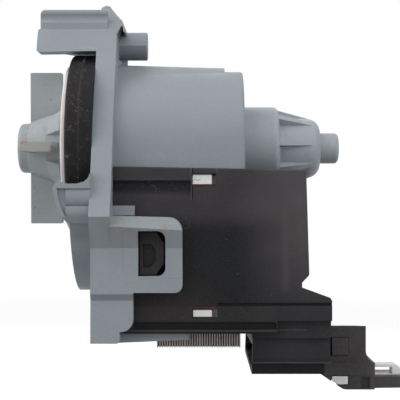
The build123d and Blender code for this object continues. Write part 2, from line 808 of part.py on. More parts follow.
def shroud():
    """The socket under the cover's right end, open at both ends, with a hollow at each side of it."""
    half = SHROUD_HALF_WIDTH
    top = COVER_BOTTOM + 0.5
    outer = side_prism(
        [
            (SHROUD_LEFT, top),
            (SHROUD_RIGHT, top),
            (SHROUD_RIGHT, SHROUD_RIDGE),
            (SHROUD_FOOT_RIGHT, SHROUD_RIDGE),
            (SHROUD_FOOT_RIGHT, SHROUD_BOTTOM),
            (SHROUD_LEFT - 0.4, SHROUD_BOTTOM),
        ],
        -half,
        half,
    )
    shoulder = block(SHROUD_LEFT, SHROUD_RIGHT, -STEP_HALF_WIDTH, STEP_HALF_WIDTH, -55.7, top)
    ridge = block(SHROUD_LEFT, SHROUD_RIGHT, -half - 0.8, half + 0.8, SHROUD_RIDGE, SHROUD_RIDGE + 0.6)
    inside = half - SHROUD_WALL
    socket_half = PLUG_HALF_WIDTH + MOVING_GAP
    entrance = block(SHROUD_LEFT - 1, CARRIER_RIGHT + 0.2, -inside, inside, SOCKET_BOTTOM, SOCKET_TOP)
    socket = block(CARRIER_RIGHT, SHROUD_RIGHT + 1, -socket_half, socket_half, SOCKET_BOTTOM, SOCKET_TOP)
    hollow = block(CARRIER_RIGHT, 65.5, -inside, -socket_half - SHROUD_WALL, SOCKET_BOTTOM, SOCKET_TOP)
    return outer + shoulder + ridge - entrance - socket - both_sides(hollow)


def motor_cover():
    """The black moulding."""
    near = cover_grooves()
    return cover_shell() - both_sides(near) + both_sides(latch_lug()) + shroud()


def terminal_ys():
    return [(index - (TERMINAL_COUNT - 1) / 2) * BLADE_PITCH for index in range(TERMINAL_COUNT)]


def terminal_block(x0, x1, y, half_width, half_height):
    """A block round the middle of one terminal."""
    return block(x0, x1, y - half_width, y + half_width, BLADE_Z - half_height, BLADE_Z + half_height)


def terminal_blades():
    """The flat blades in the socket."""
    blades = Part()
    for y in terminal_ys():
        blade = terminal_block(CARRIER_LEFT - 1, 61.5, y, TERMINAL_WIDTH / 2, TERMINAL_THICKNESS / 2)
        blades += chamfer(blade.faces().sort_by(Axis.X)[-1].edges().filter_by(Axis.Y), 0.25)
    return blades


def terminal_carrier():
    """The block that holds the blades in the socket, with a small gusset at each end."""
    half = SHROUD_HALF_WIDTH - SHROUD_WALL - 0.2
    body = block(CARRIER_LEFT, CARRIER_RIGHT, -half, half, SOCKET_BOTTOM + 0.2, SOCKET_TOP - 0.2)
    gusset = side_prism(
        [
            (44.9, -54.35),
            (46.4, -54.35),
            (46.4, -56.1),
            (CARRIER_LEFT + 0.5, -56.1),
            (CARRIER_LEFT + 0.5, -58.3),
            (46.9, -58.3),
            (44.9, -55.0),
        ],
        -half,
        -half + 1.8,
    )
    return body + both_sides(gusset) - terminal_blades()


# Plug


def plug_outline():
    """The plug's (x, z) outline, without its tongue and its bar."""
    return [
        (PLUG_LEFT, PLUG_TOP),
        (PLUG_RIGHT, PLUG_TOP),
        (PLUG_RIGHT, -61.0),
        (PLUG_FOOT_RIGHT, -61.0),
        (PLUG_FOOT_RIGHT, PLUG_BOTTOM),
        (75.2, PLUG_BOTTOM),
        (74.1, -72.6),
        (67.5, -68.15),
        (67.5, SHROUD_RIDGE - 0.3),
        (PLUG_LEFT, SHROUD_RIDGE - 0.3),
    ]


def plug_shape():
    """The plug's outside: body with a top that falls to the far side, proud band, bar and tongue."""
    half = PLUG_HALF_WIDTH
    body = side_prism(plug_outline(), -half, half)
    curve_r = 4.2
    body -= Pos(PLUG_RIGHT + curve_r, 0, -61.0) * Rot(90, 0, 0) * Cylinder(curve_r, 2 * half + 2)
    above = [(-half, PLUG_TOP), (half, PLUG_TOP - PLUG_TOP_FALL), (half + 1, PLUG_TOP - PLUG_TOP_FALL)]
    above += [(half + 1, -50), (-half - 1, -50), (-half - 1, PLUG_TOP)]
    body -= cross_prism(above, PLUG_LEFT - 1, PLUG_RIGHT + 1)
    band = block(68.6, PLUG_FOOT_RIGHT, -half - 0.4, half + 0.4, -68.6, -64.7)
    bar_outline = [(82.0, -73.2), (94.3, -73.0), (94.3, -69.6), (82.0, -69.6)]
    bar = side_prism(bar_outline, -BAR_HALF_WIDTH, BAR_HALF_WIDTH)
    tongue_top = SOCKET_TOP - MOVING_GAP
    tongue = block(TONGUE_LEFT, PLUG_LEFT + 0.2, -half, half, SOCKET_BOTTOM + MOVING_GAP, tongue_top)
    return body + band + bar + tongue


def latch_space():
    """The latch's slot under the near face, and its window through the face."""
    z0 = LATCH_BOTTOM - LATCH_GAP
    z1 = LATCH_TOP + LATCH_GAP
    slot = block(PLUG_LEFT - 1, LATCH_PIN_X + 1.4, -10.1, -5.8, z0, z1)
    window = block(PLUG_LEFT - 1, LATCH_THUMB_RIGHT + LATCH_GAP, -PLUG_HALF_WIDTH - 1, -9.5, z0, z1)
    hole = Pos(LATCH_PIN_X, LATCH_PIN_Y, (z0 + z1) / 2) * Cylinder(LATCH_PIN_R + RUNNING_GAP, 8.0)
    return slot + window + hole


def plug_body():
    """The black plug, hollowed for its contacts, latch, terminal lock and locking loop."""
    half = PLUG_HALF_WIDTH
    loop_half = LOCK_LOOP_HALF_WIDTH + MOVING_GAP
    shape = plug_shape() - latch_space()
    for y in terminal_ys():
        shape -= terminal_block(TONGUE_LEFT - 1, 66.0, y, CONTACT_HALF_WIDTH, CONTACT_HALF_HEIGHT)
        shape -= rod_x(WIRE_ENTRY_R, 65.0, PLUG_RIGHT + 1, y, BLADE_Z + 1.2)
    shape -= block(79.6, 95.0, -loop_half, loop_half, -70.3, LOCK_LOOP_TOP + MOVING_GAP)
    lock_slot = [(70.7, -68.5), (76.0, -68.5), (76.0, -71.5), (72.2, -71.5), (70.7, -70.5)]
    shape -= side_prism(lock_slot, -half - 1, half + 1)
    shape -= both_sides(block(79.7, 82.3, -half - 1, -half + 0.6, -72.5, -69.1))
    return shape


def plug_contacts():
    """The receptacles that grip the blades: small tubes with a hole for each blade."""
    contacts = Part()
    for y in terminal_ys():
        outer = terminal_block(56.0, 66.0, y, CONTACT_HALF_WIDTH, CONTACT_HALF_HEIGHT)
        hole = terminal_block(55.0, 64.5, y, CONTACT_HALF_WIDTH - 0.5, CONTACT_HALF_HEIGHT - 0.8)
        contacts += outer - hole
    return contacts


def plug_latch():
    """The lever on the plug's near side: a wedged thumb block on an arm with a pivot pin."""
    arm = block(70.9, LATCH_PIN_X + 1.1, -9.8, -8.4, LATCH_BOTTOM, LATCH_TOP)
    face = -PLUG_HALF_WIDTH
    wedge = [(face - 0.15, LATCH_TOP), (face - 0.75, LATCH_BOTTOM), (-9.0, LATCH_BOTTOM), (-9.0, LATCH_TOP)]
    thumb = cross_prism(wedge, 70.9, LATCH_THUMB_RIGHT)
    pin = Pos(LATCH_PIN_X, LATCH_PIN_Y, (LATCH_BOTTOM + LATCH_TOP) / 2) * Cylinder(LATCH_PIN_R, 7.6)
    return arm + thumb + pin


def terminal_lock():
    """The white bar across the plug's lower corner."""
    half = PLUG_HALF_WIDTH + 0.3
    outline = [(71.0, -68.8), (75.7, -68.8), (75.7, -71.2), (72.5, -71.2), (71.0, -70.2)]
    return side_prism(outline, -half, half)


def locking_loop():
    """The white loop that rides on the plug's bar, with its left end in the plug's slot."""
    half = LOCK_LOOP_HALF_WIDTH
    outline = [(80.0, -70.0), (80.0, LOCK_LOOP_TOP), (93.2, LOCK_LOOP_TOP), (93.2, -70.0)]
    body = side_prism(outline, -half, half, [((93.2, LOCK_LOOP_TOP), 2.0), ((93.2, -70.0), 0.4)])
    inside = [(81.5, -69.5), (81.5, -67.35), (90.5, -67.35), (90.5, -69.5)]
    return body - side_prism(inside, -half - 1, half + 1, [((90.5, -67.35), 0.5)])


def mirrored(shape):
    return mirror(shape, Plane.XZ)


PIECES = {
    "pump_housing": pump_housing(),
    "rotor_can": rotor_can(),
    "front_bearing_plate": front_bearing_plate(),
    "sump_seal": sump_seal(),
    "can_seal": can_seal(),
    "front_bush": front_bush(),
    "front_bush_rubber": front_bush_rubber(),
    "rear_bush": rear_bush(),
    "rear_bush_rubber": rear_bush_rubber(),
    "shaft": shaft(),
    "rotor_sleeve": rotor_sleeve(),
    "rotor_magnet": rotor_magnet(),
    "front_thrust_washer": front_thrust_washer(),
    "rear_thrust_washer": rear_thrust_washer(),
    "drive_dog": drive_dog(),
    "impeller": impeller(),
    "impeller_cap": impeller_cap(),
    "core_stack": core_stack(),
    "near_bobbin": near_bobbin(),
    "far_bobbin": mirrored(near_bobbin()),
    "near_winding": near_winding(),
    "far_winding": mirrored(near_winding()),
    "near_coil_tape": near_coil_tape(),
    "far_coil_tape": mirrored(near_coil_tape()),
    "bobbin_pins": bobbin_pins(),
    "thermal_fuse": thermal_fuse(),
    "motor_cover": motor_cover(),
    "terminal_carrier": terminal_carrier(),
    "terminal_blades": terminal_blades(),
    "plug_body": plug_body(),
    "plug_contacts": plug_contacts(),
    "plug_latch": plug_latch(),
    "terminal_lock": terminal_lock(),
    "locking_loop": locking_loop(),
}

os.makedirs("parts", exist_ok=True)
for node, shape in PIECES.items():
    export_step(shape, f"parts/{node}.step")
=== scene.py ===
import json
import math
import random

import bmesh
import bpy
from mathutils import Matrix, Vector


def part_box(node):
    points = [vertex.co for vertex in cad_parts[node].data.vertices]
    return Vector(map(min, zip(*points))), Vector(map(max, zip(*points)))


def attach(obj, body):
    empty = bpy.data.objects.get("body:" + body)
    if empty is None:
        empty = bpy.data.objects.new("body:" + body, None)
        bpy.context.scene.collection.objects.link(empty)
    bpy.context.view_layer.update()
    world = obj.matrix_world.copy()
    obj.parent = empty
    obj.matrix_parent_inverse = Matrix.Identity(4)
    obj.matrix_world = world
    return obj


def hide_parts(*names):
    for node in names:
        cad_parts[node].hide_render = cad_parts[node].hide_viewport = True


# A dishwasher drain pump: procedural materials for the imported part, a stack of separate laminations, and
# a plain studio. Lengths named _MM, and all places and sizes in the materials, are in millimetres.
# Everything else is in metres.

MM = 0.001
IMAGE_PX = 400
SENSOR_MM = 36.0

# The photograph's view: the camera looks along +Y, square to the rotor's axis
CAMERA_X_MM = 31.4
CAMERA_Z_MM = -16.0
CAMERA_DISTANCE_MM = 330.0
CAMERA_CLIP_START = 0.01
MM_PER_PX = 0.31

# From its near distance to its far one, the floor turns from paper that shows the shadow to plain white
FLOOR_Z_MM = -110.0
FLOOR_HALF_MM = 3000.0
FLOOR_NEAR_MM = 250.0
FLOOR_FAR_MM = 800.0
FLOOR_SEEN = (0.85, 0.85, 0.85)
FLOOR_UNSEEN = (0.3, 0.3, 0.3)
FLOOR_GLOW = 0.45
WHITE = (1.0, 1.0, 1.0)
BLACK = (0.0, 0.0, 0.0)

# The sky's strength below and above, and the Z of the directions between which it fades
AMBIENT_BELOW = 0.1
AMBIENT_ABOVE = 0.2
FADE_BOTTOM = -0.6
FADE_TOP = 0.9

# The point that the lamps face, and each lamp's place, size and power
LAMP_TARGET = (CAMERA_X_MM * MM, 0, CAMERA_Z_MM * MM)
LAMPS = {
    "left": ((-0.70, -0.25, 0.10), (0.6, 0.6), 2.3),
    "top_left": ((-0.40, -0.05, 0.60), (0.5, 0.5), 2.25),
    "front_left": ((-0.55, -0.80, 0.15), (0.7, 0.7), 1.6),
    "above_camera": ((0.05, -0.60, 0.60), (0.7, 0.5), 1.5),
    "right": ((0.60, -0.45, 0.20), (0.5, 0.5), 1.55),
    "top_right": ((0.50, -0.15, 0.60), (0.5, 0.5), 1.3),
    "back": ((0.15, 0.70, 0.55), (0.7, 0.4), 0.95),
}

# The lamination stack, as in the part's own solid
YOKE_HEIGHT_MM = 9.0
LEG_INNER_MM = 8.0
AIR_R_MM = 13.1
ARC_STEPS = 18

# Its sheets. Each shrinks about the stack's middle, so that its inset is exact at the two reaches from it.
SHEET_COUNT = 34
SHEET_GAP_MM = 0.34
SHEET_BURR_MM = 0.06
SHEET_JITTER_MM = 0.05
INSET_REACH_Y_MM = 16.0
INSET_REACH_Z_MM = 35.0
SHUFFLE_SEED = 7

# How far the filling behind the sheets' edges stays back: at the sides and top, the ends and the bottom
CORE_BACK_MM = 1.0
CORE_END_MM = 0.2
CORE_BOTTOM_MM = 0.2

# Sockets of Blender's Mix node when it mixes colours
MIX_FACTOR = 0
MIX_A = 6
MIX_B = 7
MIX_RESULT = 2


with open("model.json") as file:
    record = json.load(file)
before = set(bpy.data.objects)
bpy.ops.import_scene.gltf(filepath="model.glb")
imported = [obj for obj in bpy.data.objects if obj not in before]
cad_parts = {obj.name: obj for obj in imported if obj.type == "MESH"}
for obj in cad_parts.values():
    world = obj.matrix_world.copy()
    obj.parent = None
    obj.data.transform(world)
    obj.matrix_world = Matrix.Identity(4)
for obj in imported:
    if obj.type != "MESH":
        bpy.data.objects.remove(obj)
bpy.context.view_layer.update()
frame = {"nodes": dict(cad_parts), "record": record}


# Camera, floor and lights


def add_node(tree, kind, operation=None, values=None):
    """A shader node, with its operation and the values of its inputs."""
    made = tree.nodes.new("ShaderNode" + kind)
    if operation:
        made.operation = operation
    for name, value in (values or {}).items():
        made.inputs[name].default_value = value
    return made


def add_colour_mix(tree, colours):
    """A mix of colours, with those that are known set on its sockets."""
    made = add_node(tree, "Mix")
    made.data_type = "RGBA"
    for index, colour in colours.items():
        made.inputs[index].default_value = (*colour, 1)
    return made


def look_at(thing, target):
    """Turn a lamp so that its -Z axis points at the target."""
    direction = Vector(target) - thing.location
    thing.rotation_euler = direction.to_track_quat("-Z", "Y").to_euler()


def make_camera():
    data = bpy.data.cameras.new("camera")
    data.sensor_width = SENSOR_MM
    data.lens = SENSOR_MM * CAMERA_DISTANCE_MM / (IMAGE_PX * MM_PER_PX)
    data.clip_start = CAMERA_CLIP_START
    camera = bpy.data.objects.new("camera", data)
    camera.location = (CAMERA_X_MM * MM, -CAMERA_DISTANCE_MM * MM, CAMERA_Z_MM * MM)
    camera.rotation_euler = (math.pi / 2, 0, 0)
    bpy.context.scene.collection.objects.link(camera)
    bpy.context.scene.camera = camera


def add_lamp(name, place, size, power):
    data = bpy.data.lights.new(name, "AREA")
    data.shape = "RECTANGLE"
    data.size, data.size_y = size
    data.energy = power
    lamp = bpy.data.objects.new(name, data)
    lamp.location = place
    look_at(lamp, LAMP_TARGET)
    bpy.context.scene.collection.objects.link(lamp)


def seen_directly(tree):
    """1 for a ray that shows a surface, straight, mirrored or through glass, and 0 for one that lights."""
    path = add_node(tree, "LightPath")
    total = path.outputs["Is Camera Ray"]
    for name in ("Is Glossy Ray", "Is Transmission Ray"):
        largest = add_node(tree, "Math", "MAXIMUM")
        tree.links.new(total, largest.inputs[0])
        tree.links.new(path.outputs[name], largest.inputs[1])
        total = largest.outputs[0]
    return total


def make_world():
    """White to the eye, and a soft light that fades from above to below."""
    world = bpy.data.worlds.new("studio")
    world.use_nodes = True
    tree = world.node_tree
    tree.nodes.clear()
    coords = add_node(tree, "TexCoord")
    split = add_node(tree, "SeparateXYZ")
    heights = {"From Min": FADE_BOTTOM, "From Max": FADE_TOP}
    strengths = {"To Min": AMBIENT_BELOW, "To Max": AMBIENT_ABOVE}
    fade = add_node(tree, "MapRange", values=heights | strengths)
    ambient = add_node(tree, "Background")
    backdrop = add_node(tree, "Background", values={"Color": (*WHITE, 1)})
    mix = add_node(tree, "MixShader")
    output = add_node(tree, "OutputWorld")
    tree.links.new(coords.outputs["Generated"], split.inputs[0])
    tree.links.new(split.outputs["Z"], fade.inputs["Value"])
    tree.links.new(fade.outputs["Result"], ambient.inputs["Strength"])
    tree.links.new(seen_directly(tree), mix.inputs["Fac"])
    tree.links.new(ambient.outputs[0], mix.inputs[1])
    tree.links.new(backdrop.outputs[0], mix.inputs[2])
    tree.links.new(mix.outputs[0], output.inputs["Surface"])
    bpy.context.scene.world = world


def floor_paper():
    """A pale material that keeps the shadow, and looks white where nothing shades it."""
    material = bpy.data.materials.new("floor_paper")
    material.use_nodes = True
    tree = material.node_tree
    tree.nodes.clear()
    direct = seen_directly(tree)
    coords = add_node(tree, "TexCoord")
    distance = add_node(tree, "VectorMath", "LENGTH")
    far = add_node(tree, "MapRange", values={"From Min": FLOOR_NEAR_MM * MM, "From Max": FLOOR_FAR_MM * MM})
    far.interpolation_type = "SMOOTHSTEP"
    lit = add_colour_mix(tree, {MIX_A: FLOOR_SEEN, MIX_B: BLACK})
    colour = add_colour_mix(tree, {MIX_A: FLOOR_UNSEEN})
    diffuse = add_node(tree, "BsdfDiffuse")
    rise = add_node(tree, "MapRange", values={"To Min": FLOOR_GLOW, "To Max": 1.0})
    strength = add_node(tree, "Math", "MULTIPLY")
    glow = add_node(tree, "Emission")
    total = add_node(tree, "AddShader")
    output = add_node(tree, "OutputMaterial")
    tree.links.new(coords.outputs["Object"], distance.inputs[0])
    tree.links.new(distance.outputs["Value"], far.inputs["Value"])
    tree.links.new(far.outputs["Result"], lit.inputs[MIX_FACTOR])
    tree.links.new(far.outputs["Result"], rise.inputs["Value"])
    tree.links.new(direct, colour.inputs[MIX_FACTOR])
    tree.links.new(lit.outputs[MIX_RESULT], colour.inputs[MIX_B])
    tree.links.new(direct, strength.inputs[0])
    tree.links.new(rise.outputs["Result"], strength.inputs[1])
    tree.links.new(colour.outputs[MIX_RESULT], diffuse.inputs["Color"])
    tree.links.new(strength.outputs[0], glow.inputs["Strength"])
    tree.links.new(diffuse.outputs[0], total.inputs[0])
    tree.links.new(glow.outputs[0], total.inputs[1])
    tree.links.new(total.outputs[0], output.inputs["Surface"])
    return material


def make_floor():
    half = FLOOR_HALF_MM * MM
    mesh = bpy.data.meshes.new("floor")
    corners = [(-half, -half, 0), (half, -half, 0), (half, half, 0), (-half, half, 0)]
    mesh.from_pydata(corners, [], [(0, 1, 2, 3)])
    mesh.materials.append(floor_paper())
    floor = bpy.data.objects.new("floor", mesh)
    floor.location.z = FLOOR_Z_MM * MM
    bpy.context.scene.collection.objects.link(floor)


def make_studio():
    make_camera()
    make_world()
    make_floor()
    for name, (place, size, power) in LAMPS.items():
        add_lamp(name, place, size, power)


# Material kit

# How far apart the textures of one material lie, in units of their size
TEXTURE_SHIFT = (17.3, -9.1, 23.7)

# A speck's soft rim, as a share of its radius
SPECK_SOFTNESS = 0.25

# How much a hair wanders, how much of its width is full, and the noise that breaks it into pieces
HAIR_DISTORTION = 0.6
HAIR_CORE_SHARE = 0.3
HAIR_BREAK_SIZE = 0.9
HAIR_BREAK_SOFTNESS = 0.04

# Rays for each rounded edge
EDGE_SAMPLES = 4


class Paint:
    """One procedural material, built from Object coordinates in millimetres."""

    def __init__(self, name, edge_mm=0.25):
        self.material = bpy.data.materials.new(name)
        self.material.use_nodes = True
        self.tree = self.material.node_tree
        self.shader = self.tree.nodes["Principled BSDF"]
        coords = self.tree.nodes.new("ShaderNodeTexCoord").outputs["Object"]
        self.place = self.vector("MULTIPLY", coords, (1 / MM,) * 3)
        self.colour = None
        self.rough = 0.5
        self.seed = 0
        bevel = self.tree.nodes.new("ShaderNodeBevel")
        bevel.samples = EDGE_SAMPLES
        bevel.inputs["Radius"].default_value = edge_mm * MM
        self.normal = bevel.outputs[0]
        self.true_normal = self.tree.nodes.new("ShaderNodeNewGeometry").outputs["Normal"]

    def put(self, socket, value):
        """Link a socket, or set its value."""
        if isinstance(value, bpy.types.NodeSocket):
            self.tree.links.new(value, socket)
        elif isinstance(value, tuple) and socket.type == "RGBA":
            socket.default_value = (*value[:3], 1)
        else:
            socket.default_value = value

    def vector(self, operation, a, b=(0, 0, 0), c=(0, 0, 0)):
        made = self.tree.nodes.new("ShaderNodeVectorMath")
        made.operation = operation
        for socket, value in zip(made.inputs, (a, b, c)):
            self.put(socket, value)
        return made.outputs["Value"] if operation == "DOT_PRODUCT" else made.outputs["Vector"]

    def math(self, operation, a, b=0.0, c=0.0):
        made = self.tree.nodes.new("ShaderNodeMath")
        made.operation = operation
        for socket, value in zip(made.inputs, (a, b, c)):
            self.put(socket, value)
        return made.outputs[0]

    def both(self, *masks):
        """1 where every one of the masks is 1."""
        product = masks[0]
        for mask in masks[1:]:
            product = self.math("MULTIPLY", product, mask)
        return product

    def ramp(self, value, low, high, to_low=0.0, to_high=1.0):
        """A smooth step from low to high."""
        made = self.tree.nodes.new("ShaderNodeMapRange")
        made.interpolation_type = "SMOOTHSTEP"
        for socket, number in zip(made.inputs, (value, low, high, to_low, to_high)):
            self.put(socket, number)
        return made.outputs["Result"]

    def mix(self, factor, a, b):
        """A mix of two colours."""
        made = self.tree.nodes.new("ShaderNodeMix")
        made.data_type = "RGBA"
        self.put(made.inputs[MIX_FACTOR], factor)
        self.put(made.inputs[MIX_A], a)
        self.put(made.inputs[MIX_B], b)
        return made.outputs[MIX_RESULT]

    def axis(self, name):
        """One coordinate, in millimetres."""
        made = self.tree.nodes.new("ShaderNodeSeparateXYZ")
        self.put(made.inputs[0], self.place)
        return made.outputs[name]

    def along(self, name, start, end, to_start=0.0, to_end=1.0):
        """A smooth step along one axis, from start to end in millimetres."""
        return self.ramp(self.axis(name), start, end, to_start, to_end)

    def at_scale(self, size, stretch=(1, 1, 1), turn=(0, 0, 0)):
        """Coordinates in units of size millimetres, shifted afresh for each texture."""
        self.seed += 1
        shift = tuple(step * self.seed for step in TEXTURE_SHIFT)
        place = self.place
        if turn != (0, 0, 0):
            mapping = self.tree.nodes.new("ShaderNodeMapping")
            mapping.inputs["Rotation"].default_value = turn
            self.put(mapping.inputs["Vector"], place)
            place = mapping.outputs[0]
        scale = tuple(1 / (size * s) for s in stretch)
        return self.vector("MULTIPLY_ADD", place, scale, shift)

    def noise(self, size, detail=3.0, stretch=(1, 1, 1), turn=(0, 0, 0), distort=0.0):
        made = self.tree.nodes.new("ShaderNodeTexNoise")
        self.put(made.inputs["Vector"], self.at_scale(size, stretch, turn))
        made.inputs["Scale"].default_value = 1.0
        made.inputs["Detail"].default_value = detail
        made.inputs["Distortion"].default_value = distort
        return made.outputs[0]

    def patches(self, size, detail, low, high):
        """Noise of that size, turned into soft patches by a step from low to high."""
        return self.ramp(self.noise(size, detail), low, high)

    def specks(self, cell, radius, share):
        """Round spots: about one in each cell of that many millimetres, for that share of the cells."""
        made = self.tree.nodes.new("ShaderNodeTexVoronoi")
        self.put(made.inputs["Vector"], self.at_scale(cell))
        made.inputs["Scale"].default_value = 1.0
        split = self.tree.nodes.new("ShaderNodeSeparateColor")
        self.put(split.inputs[0], made.outputs["Color"])
        chosen = self.ramp(split.outputs[0], 1 - share, 1.0, 0.0, radius / cell)
        inside = self.math("SUBTRACT", chosen, made.outputs["Distance"])
        return self.ramp(inside, 0.0, SPECK_SOFTNESS * radius / cell)

    def hairs(self, size, width, amount, stretch=(1, 1, 1), turn=(0, 0, 0)):
        """Thin wandering lines, broken into short pieces."""
        field = self.noise(size, 1.0, stretch, turn, HAIR_DISTORTION)
        distance = self.math("ABSOLUTE", self.math("SUBTRACT", field, 0.5))
        line = self.ramp(distance, width, width * HAIR_CORE_SHARE)
        start = 1 - amount
        kept = self.patches(size * HAIR_BREAK_SIZE, 1.0, start, start + HAIR_BREAK_SOFTNESS)
        return self.both(line, kept)

    def edges(self, low=0.02, high=0.2):
        """1 along edges, from how far the rounded normal turns from the true one."""
        together = self.vector("DOT_PRODUCT", self.normal, self.true_normal)
        return self.ramp(self.math("SUBTRACT", 1.0, together), low, high)

    def facing_up(self, low=0.3, high=0.9):
        made = self.tree.nodes.new("ShaderNodeSeparateXYZ")
        self.put(made.inputs[0], self.true_normal)
        return self.ramp(made.outputs["Z"], low, high)

    def region(self, x0, x1, z0, z1, soft=1.0):
        """1 inside an (x, z) rectangle in millimetres, fading over soft millimetres at its sides."""
        sides = []
        for name, low, high in (("X", x0, x1), ("Z", z0, z1)):
            sides.append(self.along(name, low - soft, low + soft))
            sides.append(self.along(name, high + soft, high - soft))
        return self.both(*sides)

    def near_side(self, y, soft=1.0):
        """1 on the near side of a Y in millimetres."""
        return self.along("Y", y + soft, y - soft)

    def base(self, dark, light, size):
        """Two tones, blended by a slow noise."""
        self.colour = self.mix(self.patches(size, 2.0, 0.3, 0.7), dark, light)

    def layer(self, mask, colour, strength=1.0):
        """Lay a colour over what is there."""
        factor = self.math("MULTIPLY", mask, strength)
        self.colour = self.mix(factor, self.colour, colour)

    def roughen(self, mask, amount):
        """Add to the roughness where the mask is 1."""
        self.rough = self.math("MULTIPLY_ADD", mask, amount, self.rough)

    def relief(self, height, depth_mm):
        """Add bumps of that depth."""
        bump = self.tree.nodes.new("ShaderNodeBump")
        bump.inputs["Distance"].default_value = depth_mm * MM
        self.put(bump.inputs["Height"], height)
        self.put(bump.inputs["Normal"], self.normal)
        self.normal = bump.outputs[0]

    def finish(self, specular=0.5, metallic=0.0):
        self.put(self.shader.inputs["Base Color"], self.colour)
        self.put(self.shader.inputs["Roughness"], self.rough)
        self.put(self.shader.inputs["Normal"], self.normal)
        self.shader.inputs["Specular IOR Level"].default_value = specular
        self.shader.inputs["Metallic"].default_value = metallic
        return self.material


# A worn or edge-highlit place is the light tone, brightened by the gain and the lift
WORN_AND_HIGHLIT_GAIN = 1.35
WORN_AND_HIGHLIT_LIFT = 0.02
DUST_SPECK = (0.62, 0.61, 0.58)
SETTLED_DUST = (0.5, 0.49, 0.46)
SPECK_STRENGTH_PER_DUST = 5


def moulded(name, dark, light, rough=0.45, dust=0.1, edge_mm=0.25, specular=0.4, stains=()):
    """Moulded plastic: two tones, orange peel, a few scratches, light edges that are part wear and part
    painted highlight, and some dust.
    """
    paint = Paint(name, edge_mm)
    worn_and_highlit_edges = paint.edges()
    paint.base(dark, light, size=14.0)
    paint.rough = rough
    paint.roughen(paint.patches(6.0, 4.0, 0.3, 0.7), 0.1)
    grain = paint.noise(0.35, 2.0)
    brighter = tuple(min(1.0, c * WORN_AND_HIGHLIT_GAIN + WORN_AND_HIGHLIT_LIFT) for c in light)
    # Light edges: part wear, part painted highlight
    paint.layer(worn_and_highlit_edges, brighter, 0.35)
    scratches = paint.hairs(5.0, 0.004, 0.42, stretch=(1, 1, 7), turn=(0.4, 0.2, 0.5))
    paint.layer(scratches, brighter, 0.22)
    paint.layer(paint.specks(1.6, 0.14, 0.35), DUST_SPECK, min(1.0, dust * SPECK_STRENGTH_PER_DUST))
    settled = paint.both(paint.facing_up(), paint.patches(3.0, 5.0, 0.35, 0.75))
    paint.layer(settled, SETTLED_DUST, dust)
    for stain in stains:
        stain(paint)
    paint.roughen(settled, 0.15)
    paint.relief(paint.noise(2.2, 2.0), 0.02)
    paint.relief(grain, 0.012)
    return paint.finish(specular)


# Materials, one for each slot of the record. A painted place is given as (left, right, bottom, top), and
# a fade as (start, full).

# Snap loop: its top edge, the corner where it leaves the flange, and the haze round both
LOOP_EDGE = (7.0, 24.0, -24.9, -22.8)
LOOP_CORNER = (4.0, 13.5, -25.6, -22.6)
LOOP_HAZE = (3.0, 22.0, -26.5, -20.8)
EDGE_DIRT = (0.25, 0.19, 0.09)
CORNER_DIRT = (0.28, 0.22, 0.10)
HAZE_DIRT = (0.27, 0.26, 0.21)


def loop_dirt(paint):
    """Yellow-brown grains of dirt along the snap loop's top edge."""
    grains = paint.patches(0.5, 3.0, 0.5, 0.64)
    patches = paint.ramp(paint.noise(2.6, 3.0, stretch=(2, 1, 1)), 0.34, 0.54)
    paint.layer(paint.both(paint.region(*LOOP_EDGE, soft=0.8), patches, grains), EDGE_DIRT, 0.6)
    paint.layer(paint.both(paint.region(*LOOP_CORNER, soft=1.2), grains), CORNER_DIRT, 0.5)
    paint.layer(paint.both(paint.region(*LOOP_HAZE, soft=1.5), patches), HAZE_DIRT, 0.35)


# Housing: painted shade on places that lie in shade
LOOP_FACE_Y = -29.0
POST_LOWER_HALF = (6.8, 15.6, 26.5, 31.0)
GUARD = (-5.2, 0.5, -38.0, -24.0)
SLOPE_UNDER_LOOP = (0.5, 12.6, -44.3, -42.4)
POST_SHADE = (0.17, 0.19, 0.21)
NEAR_SHADE = (0.19, 0.21, 0.23)


def housing_shade(paint):
    """Painted shade on the rear post's lower half, on the guard and on the slope under the snap loop."""
    near = paint.near_side(LOOP_FACE_Y)
    paint.layer(paint.region(*POST_LOWER_HALF, soft=0.4), POST_SHADE, 0.75)
    paint.layer(paint.both(paint.region(*GUARD, soft=2.0), near), NEAR_SHADE, 0.6)
    paint.layer(paint.both(paint.region(*SLOPE_UNDER_LOOP, soft=0.1), near), NEAR_SHADE, 0.6)


PARTING_LINES = ((9.75, 9.85, -37.5, -24.9), (14.2, 26.2, -38.05, -37.95))
POST_RIDGE_HIGHLIGHT = (6.6, 15.3, 31.15, 31.55)
PARTING_LINE_DARK = (0.12, 0.13, 0.14)
RIDGE_HIGHLIGHT = (0.42, 0.45, 0.48)


def parting_lines_and_ridge_highlight(paint):
    """Fine dark parting lines on the snap loop's face, and a painted highlight along the rear post's ridge.
    """
    near = paint.near_side(LOOP_FACE_Y)
    for line in PARTING_LINES:
        paint.layer(paint.both(paint.region(*line, soft=0.12), near), PARTING_LINE_DARK, 0.45)
    # Painted highlight where the rear post's ridge catches the light
    paint.layer(paint.region(*POST_RIDGE_HIGHLIGHT, soft=0.1), RIDGE_HIGHLIGHT, 0.7)


def grey_specks(paint):
    """Tiny dark grains in the grey plastic, and a soft darker mottle."""
    paint.layer(paint.specks(1.3, 0.16, 0.35), (0.12, 0.125, 0.13), 0.35)
    paint.layer(paint.patches(0.7, 3.0, 0.35, 0.7), (0.22, 0.245, 0.265), 0.22)


def housing_plastic():
    dark, light = (0.276, 0.308, 0.335), (0.292, 0.323, 0.351)
    stains = (grey_specks, loop_dirt, housing_shade, parting_lines_and_ridge_highlight)
    return moulded("housing_plastic", dark, light, rough=0.48, dust=0.04, stains=stains)


def can_plastic():
    dark, light = (0.340, 0.380, 0.412), (0.365, 0.403, 0.436)
    return moulded("can_plastic", dark, light, rough=0.42, dust=0.03, stains=(grey_specks,))
